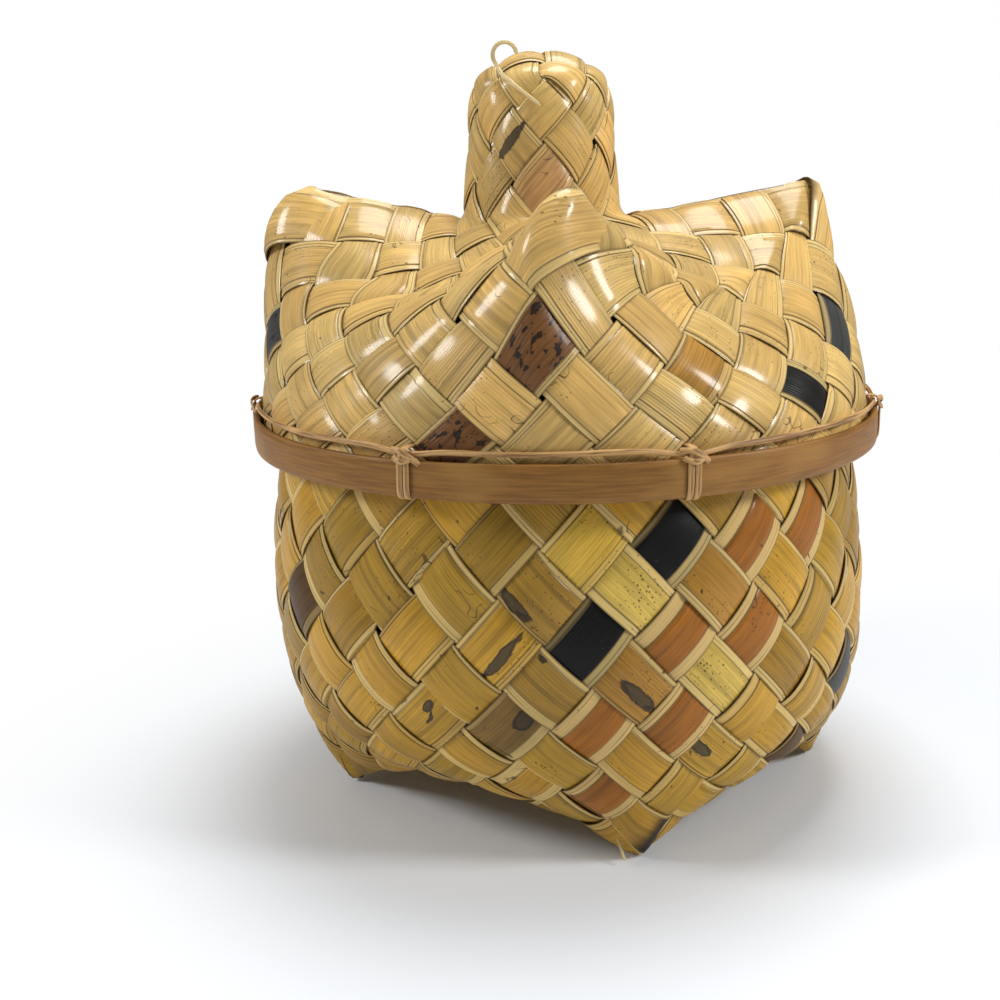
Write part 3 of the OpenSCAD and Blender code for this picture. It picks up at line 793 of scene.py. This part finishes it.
def splint(name, kind, mirrored, number):
    c = number - 2 * HALF - 0.5
    rows = {"base": BASE_ROWS, "lid": LID_ROWS, "knob": KNOB_ROWS + RING_ROWS + LID_ROWS}[kind]
    reach = 2 * rows + 2 * (KNOB_HALF if kind == "knob" else HALF) - END_AIR
    length = reach - abs(c)
    strip_seed, wave_a, wave_b = rng.uniform(0, 9, 3)
    columns, section = strip_section(*(BANDS.get(name) or rng.choice(BAND_WIDTHS, 2)))
    stops = np.linspace(-1, 1, len(columns))
    side = -out_sign(kind, mirrored)
    made = {}

    def place(u, v):
        w = side * np.interp(v, stops, columns)
        cut = np.clip((np.abs(u) - CUT_FROM) / (1 - CUT_FROM), 0, 1)
        x = u * mix(length, reach - np.abs(c + w * COVER / 2), cut)
        waved = w * COVER / 2 + WANDER * np.sin(0.8 * x + wave_a) * (1 - cut)
        cs = c + np.clip(waved, -WIDEST_HALF, WIDEST_HALF)
        made.update(x=x, w=w)
        height = weave_lift(kind, mirrored, c, cs, x, w, wave_b) + np.interp(v, stops, section)
        return on_weave(kind, mirrored, cs, x, height)

    piece, _, v = shaped_grid(name + "_strip", int(2 * length * PARTS_PER_UNIT), len(columns) - 1, place)
    x, w = made["x"], made["w"]
    set_map(piece, x * UNIT_MM * MM, w * COVER / 2 * UNIT_MM * MM)
    set_masks(piece, v, (1, 1) if name in BANDS else rng.choice(BAND_PALENESS, 2))
    set_marks(piece, name, x, w)
    set_attribute(piece, "seed", np.full(len(x), strip_seed))
    set_attribute(piece, "gloss", np.full(len(x), GLOSS[kind]))
    set_skin(piece, name, kind, x, np.floor(crossing(mirrored, c, x) / 2).astype(int) % CELLS)
    apply(piece, "SOLIDIFY", thickness=STRIP_THICKNESS, offset=-1.0)
    bpy.ops.object.shade_smooth_by_angle(angle=STRIP_CREASE)
    piece.data.materials.clear()
    piece.data.materials.append(splint_finish)
    body = "base" if kind == "base" else "lid"
    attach(piece, body)
    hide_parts(name)
    return piece


# %% All splints
triangles = 0
for mirrored, family in ((False, "a"), (True, "b")):
    for number in range(1, 4 * HALF + 1):
        through_knob = abs(number - 2 * HALF - 0.5) < 2 * KNOB_HALF
        for kind in ("base", "knob" if through_knob else "lid"):
            piece = splint(f"{kind}_splint_{family}{number}", kind, mirrored, number)
            triangles += 2 * len(piece.data.polygons)
print("48 splints,", triangles, "triangles")

# %% [markdown]
# ## Hoops
# The lid's outer hoop is split cane with a flat back and a bulged face. It is swept from a grid, a little
# uneven in height and thickness as cane is. The inner hoop and the mouth's hoop are hidden until the lid is
# lifted, and the CAD solids have their shape, so they only get the cane finish.

# %% Outer hoop
WEAVE_CAD = 1.4 / 1.1
SPLINT_OUT, SPLINT_IN, HOOP_AIR = 1, 0.5, 0.3
OUTER_HOOP_R = RIM_R + WEAVE_CAD + SPLINT_OUT + HOOP_AIR
INNER_HOOP_R = RIM_R - WEAVE_CAD - SPLINT_IN - HOOP_AIR
HOOP_H, HOOP_T, INNER_HOOP_T = 14, 2.8, 2.4
HOOP_PARTS, SEAM_REACH, ROUND_CREASE = (240, 28), 0.02 * MM, math.radians(50)


def squared(value, power):
    return np.sign(value) * np.abs(value) ** power


def around(r, theta, z):
    return np.array([r * np.sin(theta), -r * np.cos(theta), z])


def close_seams(piece):
    """Joins the grid's meeting edges and turns its faces outwards."""
    bpy.context.view_layer.objects.active = piece
    bpy.ops.object.mode_set(mode="EDIT")
    bpy.ops.mesh.select_all(action="SELECT")
    bpy.ops.mesh.remove_doubles(threshold=SEAM_REACH)
    bpy.ops.mesh.normals_make_consistent(inside=False)
    bpy.ops.object.mode_set(mode="OBJECT")
    bpy.ops.object.shade_smooth_by_angle(angle=ROUND_CREASE)


def hoop_place(u, v):
    theta, phi = math.pi * u, math.pi * v
    uneven = 1 + 0.06 * np.sin(5 * theta + 0.4) + 0.04 * np.sin(11 * theta)
    r = OUTER_HOOP_R + HOOP_T / 2 * (1 + squared(np.cos(phi), 0.55)) * uneven
    tall = HOOP_H / 2 * (1 + 0.03 * np.sin(3 * theta + 1))
    z = RIM_Z + HOOP_H / 2 + tall * squared(np.sin(phi), 0.5) + 0.35 * np.sin(2 * theta + 0.5)
    return around(r, theta, z)


outer_hoop, _, _ = shaped_grid("rim_hoop", *HOOP_PARTS, hoop_place)
close_seams(outer_hoop)
outer_hoop.data.materials.append(cane_finish)
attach(outer_hoop, "lid")
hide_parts("lid_outer_hoop")
for name in ("mouth_hoop", "lid_inner_hoop"):
    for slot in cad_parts[name].material_slots:
        slot.material = cane_finish
print("hoop top at", round(max(v.co.z for v in outer_hoop.data.vertices) / MM, 1), "mm")

# %% [markdown]
# ## Strand and lashings
# A thin strand runs above the hoop from lashing to lashing and rests on the lid's wall. Each lashing is two
# flat passes side by side round both hoops and the rim, with two short ties of the same root over them. All of
# these are bands, so one helper sweeps a flat oval along a path.

# %% A swept band
OVAL_PARTS, LOOP_PARTS, TIE_PARTS = 10, 72, 48
BAND_MAP, PATH_STEP, END_TAPER, END_SHARE = (0.03, 0.5), 1e-4, 40, 0.02


def band_piece(name, path, face, width, thickness, closed=False):
    """Sweeps a flat oval along path, its flat side turned to face. Both are functions of u from 0 to 1."""

    def place(u, v):
        s, phi = (u + 1) / 2, math.pi * v
        centre = path(s)
        way = path(s + PATH_STEP) - path(s - PATH_STEP)
        way = way / np.linalg.norm(way, axis=0)
        up = face(s)
        up = up - way * (way * up).sum(0)
        up = up / np.linalg.norm(up, axis=0)
        flat = np.cross(way.T, up.T).T
        ends = 1.0 if closed else np.clip(np.minimum(s, 1 - s) * END_TAPER, END_SHARE, 1)
        oval = width / 2 * np.cos(phi) * flat + thickness / 2 * squared(np.sin(phi), 0.8) * up
        return centre + ends * oval

    piece, u, v = shaped_grid(name, LOOP_PARTS if closed else TIE_PARTS, OVAL_PARTS, place)
    set_map(piece, u * BAND_MAP[0], v * BAND_MAP[1])
    close_seams(piece)
    piece.data.materials.append(lash_finish)
    return piece


def joined(name, pieces):
    bpy.ops.object.select_all(action="DESELECT")
    for piece in pieces:
        piece.select_set(True)
    bpy.context.view_layer.objects.active = pieces[0]
    bpy.ops.object.join()
    whole = bpy.context.object
    whole.name = whole.data.name = name
    return whole


print("a closed band has", LOOP_PARTS * OVAL_PARTS, "faces, a tie", TIE_PARTS * OVAL_PARTS)


# %% Strand
LASH_COLUMNS = (1, 5, 8, 12, 15, 18, 22)
LASH_ANGLES = [math.radians(LID_TURN + LID_TWIST + 15 * (column + 0.5)) for column in LASH_COLUMNS]
STRAND_D, STRAND_RISE, LASH_NEAR = 2.2, 2.0, 0.09
STRAND_R, STRAND_AIR = OUTER_HOOP_R + HOOP_T / 2 - 0.4, 0.5
STRAND_PARTS, STRAND_MAP = (320, 12), (0.42, 0.5)


def from_lashing(theta):
    """0 at a lashing and 1 well away from it."""
    gaps = [np.abs(np.mod(theta - angle + math.pi, 2 * math.pi) - math.pi) for angle in LASH_ANGLES]
    return 1 - np.exp(-((np.min(gaps, axis=0) / LASH_NEAR) ** 2))


def strand_place(u, v):
    theta, phi = math.pi * u, math.pi * v
    away = from_lashing(theta)
    z = RIM_Z + HOOP_H + STRAND_AIR + STRAND_D / 2 + STRAND_RISE * away + 0.3 * np.sin(9 * theta)
    r = STRAND_R - 0.5 * away
    thick = STRAND_D / 2 * (1 + 0.08 * np.sin(13 * theta))
    return around(r + 0.75 * thick * np.cos(phi), theta, z + thick * np.sin(phi))


strand, u, v = shaped_grid("rim_strand", *STRAND_PARTS, strand_place)
set_map(strand, u * STRAND_MAP[0], v * STRAND_MAP[1])
close_seams(strand)
strand.data.materials.append(lash_finish)
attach(strand, "lid")
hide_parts("hoop_strand")
print("strand of", round(2 * math.pi * STRAND_R), "mm")

# %% Lashings
LASH_W, LASH_T, LASH_SPREAD = 2.5, 0.8, 1.4
LASH_LOW, LASH_TOP = RIM_Z - 0.7, 172.2
LASH_LOW_R, LASH_HIGH_R = INNER_HOOP_R - INNER_HOOP_T - 0.6, OUTER_HOOP_R + HOOP_T + 0.75
TURN_SPAN, TURN_W, COLLAR_SPAN, COLLAR_W, TIE_OUT = (-5.5, 6.5), 2.3, (-4.2, 4.2), 2.2, 0.9


def lashing(number, theta0):
    """Two passes side by side round the rim, and two short ties over them."""

    def loop(side):
        def path(s):
            angle = 2 * math.pi * s
            r = mix(LASH_LOW_R, LASH_HIGH_R, (1 + squared(np.cos(angle), 0.45)) / 2)
            z = mix(LASH_LOW, LASH_TOP, (1 + squared(np.sin(angle), 0.4)) / 2)
            open_share = np.clip((LASH_TOP - z) / 4, 0.25, 1)
            return around(r, theta0 + side * LASH_SPREAD * open_share / LASH_HIGH_R + 0.002 * np.sin(angle), z)

        return path

    def loop_face(s):
        angle = 2 * math.pi * s
        return around(squared(np.cos(angle), 1.6), theta0 + 0 * angle, squared(np.sin(angle), 1.6))

    def turn_path(s):
        across_mm = mix(*TURN_SPAN, s)
        r = LASH_HIGH_R + TIE_OUT - 0.16 * np.abs(across_mm - 0.5) ** 1.5
        z = RIM_Z + HOOP_H + 3.4 - 5.2 * s + 2.2 * np.sin(math.pi * s)
        return around(r, theta0 + across_mm / LASH_HIGH_R, z)

    def collar_path(s):
        across_mm = mix(*COLLAR_SPAN, s)
        r = LASH_HIGH_R + TIE_OUT - 0.13 * np.abs(across_mm) ** 1.7
        z = RIM_Z + HOOP_H - 0.4 + 0.09 * across_mm**2
        return around(r, theta0 + across_mm / LASH_HIGH_R, z)

    def tie_face(s):
        return around(1.0 + 0 * s, theta0 + 0 * s, 0.25 + 0 * s)

    passes = [
        band_piece(f"pass_{number}_{side}", loop(side), loop_face, LASH_W, LASH_T, closed=True)
        for side in (-1, 1)
    ]
    turn_tie = band_piece(f"turn_{number}", turn_path, tie_face, TURN_W, LASH_T)
    collar = band_piece(f"collar_{number}", collar_path, tie_face, COLLAR_W, LASH_T)
    return [*passes, turn_tie, collar]


lashing_parts = [part for number, theta0 in enumerate(LASH_ANGLES) for part in lashing(number, theta0)]
lashings = joined("rim_lashing_ties", lashing_parts)
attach(lashings, "lid")
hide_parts("rim_lashings")
print(len(LASH_ANGLES), "lashings of", len(lashings.data.polygons), "faces")

# %% [markdown]
# ## Loose ends
# Two thin slivers have come away from the splints. One curls up over the knob's shoulder, the other hangs from
# the front foot. They are bands as well, and each is joined to the splint that it split off.

# %% Loose ends
PALE_SLIVER, SLIVER_T = linear(226, 200, 140), 0.5


def through(stops):
    """A path through a list of points, a little longer at both ends."""
    stops = np.array([2 * stops[0] - stops[1], *stops, 2 * stops[-1] - stops[-2]])
    at = (np.arange(len(stops)) - 1) / (len(stops) - 3)
    return lambda s: np.array([np.interp(s, at, stops[:, k]) for k in range(3)])


def on_splint(kind, number, x, out):
    """A point above the middle of a splint of the first family."""
    c, x = np.array([number - 2 * HALF - 0.5]), np.array([x])
    return (softened(kind, False, c, x) + out * outward(kind, False, c, x))[:, 0]


def to_front(s):
    return np.array([0 * s, 0 * s - 1, 0 * s + 0.3])


def loose_end(owner, stops, width):
    band = band_piece("sliver", through(stops), to_front, width, SLIVER_T)
    band.data.materials.clear()
    band.data.materials.append(splint_finish)
    count = len(band.data.vertices)
    set_attribute(band, "skin", np.tile(PALE_SLIVER, (count, 1)), "FLOAT_COLOR")
    for mask, value in (("seed", 4.0), ("gloss", 1.0), ("scar", UNMARKED), ("specks", UNMARKED)):
        set_attribute(band, mask, np.full(count, value))
    joined(owner, [bpy.data.objects[owner], band])


# %% Curl on the knob and sliver at the foot
CURL_R, CURL_W, HANG_W = 4.8, 1.7, 1.1
SPLIT_PLACES, SPLIT_LIFT = ((5.67, 1.2), (5.87, 1.92), (7, 2.56)), 3.0
high, middle, low = (on_splint("knob", *place, SPLIT_LIFT) for place in SPLIT_PLACES)
split = [mix(high, middle, t) for t in np.linspace(0, 0.9, 5)]
split += [mix(middle, low, t) for t in np.linspace(0, 1, 5)]
curl_centre = high + np.array([1.6, 1.5, 7.2])
turns = np.radians(np.arange(0, 201, 10))
curl = [curl_centre + CURL_R * np.array([math.cos(a), 0.15 * a, math.sin(a)]) for a in turns]
loose_end("knob_splint_a6_strip", [*curl, *split], CURL_W)
foot_front = on_splint("base", 6, 5.9, 2.4)
hang = [foot_front + np.array([2.2 * t, -4.5 * t, -5.5 * t]) for t in np.linspace(-0.3, 1, 5)]
loose_end("base_splint_a6_strip", hang, HANG_W)
print("slivers joined; the knob's curl reaches", round(curl_centre[2] + CURL_R, 1), "mm")

# %% [markdown]
# ## Floor and light
# The picture has a plain white ground with a soft shadow. A large disc carries the shadow and fades into the
# white world. Two soft lamps stand to the left and the right in front, above the basket, and a third is over
# it.

# %% Floor
bpy.ops.mesh.primitive_circle_add(vertices=96, radius=6.0, fill_type="NGON", location=(0, 0, -0.0004))
floor = bpy.context.object
floor.name = floor.data.name = "floor"
FADE_MIDDLE, FADE_RADII = (0.08, -0.06), (0.16, 0.4)
floor_finish, wire, feed = new_finish("white_ground")
feed("Base Color", linear(230, 234, 239))
feed("Roughness", 0.9)
feed("Specular IOR Level", 0.0)
fx, fy, _ = wire.node("ShaderNodeTexCoord", out="Object").split()
off_x, off_y = fx - FADE_MIDDLE[0], fy - FADE_MIDDLE[1]
far = wire.math("SQRT", off_x * off_x + off_y * off_y).within(*FADE_RADII)
seen = wire.node("ShaderNodeLightPath", out="Is Camera Ray")
white = wire.node("ShaderNodeEmission", inputs={"Color": (1, 1, 1, 1), "Strength": 1.0})
shader = floor_finish.node_tree.nodes["Principled BSDF"]
plain = Wire(wire.tree, shader.outputs[0])
ground = wire.node("ShaderNodeMixShader", inputs={0: far * seen, 1: plain, 2: white})
wire.tree.links.new(ground.socket, floor_finish.node_tree.nodes["Material Output"].inputs["Surface"])
floor.data.materials.append(floor_finish)
print("floor fades to white from", FADE_RADII[0], "to", FADE_RADII[1], "m")

# %% Light
world = bpy.data.worlds.new("studio")
bpy.context.scene.world = world
world.use_nodes = True
sky = Wire(world.node_tree)
camera_ray = sky.node("ShaderNodeLightPath", out="Is Camera Ray")
background = world.node_tree.nodes["Background"]
background.inputs["Color"].default_value = (1, 1, 1, 1)
WORLD_LIGHT = 0.24
strength = WORLD_LIGHT + (1 - WORLD_LIGHT) * camera_ray
world.node_tree.links.new(strength.socket, background.inputs["Strength"])


def soft_lamp(name, place, aim, size, watts):
    bpy.ops.object.light_add(type="AREA", location=place)
    lamp = bpy.context.object
    lamp.name = name
    lamp.data.shape, lamp.data.size, lamp.data.energy = "DISK", size, watts
    to = np.array(aim) - np.array(place)
    lamp.rotation_mode = "XYZ"
    lamp.rotation_euler = (math.acos(-to[2] / np.linalg.norm(to)), 0, math.atan2(to[1], to[0]) - math.pi / 2)


soft_lamp("lamp_left", (-1.1, -0.3, 0.8), (0, 0, 0.16), 0.36, 7.6)
soft_lamp("lamp_right", (1.05, -0.4, 0.8), (0, 0, 0.16), 0.32, 9.2)
soft_lamp("lamp_top", (0.1, 0.16, 1.2), (0, 0, 0.1), 0.6, 9.3)
bpy.context.scene.view_settings.view_transform = "Standard"
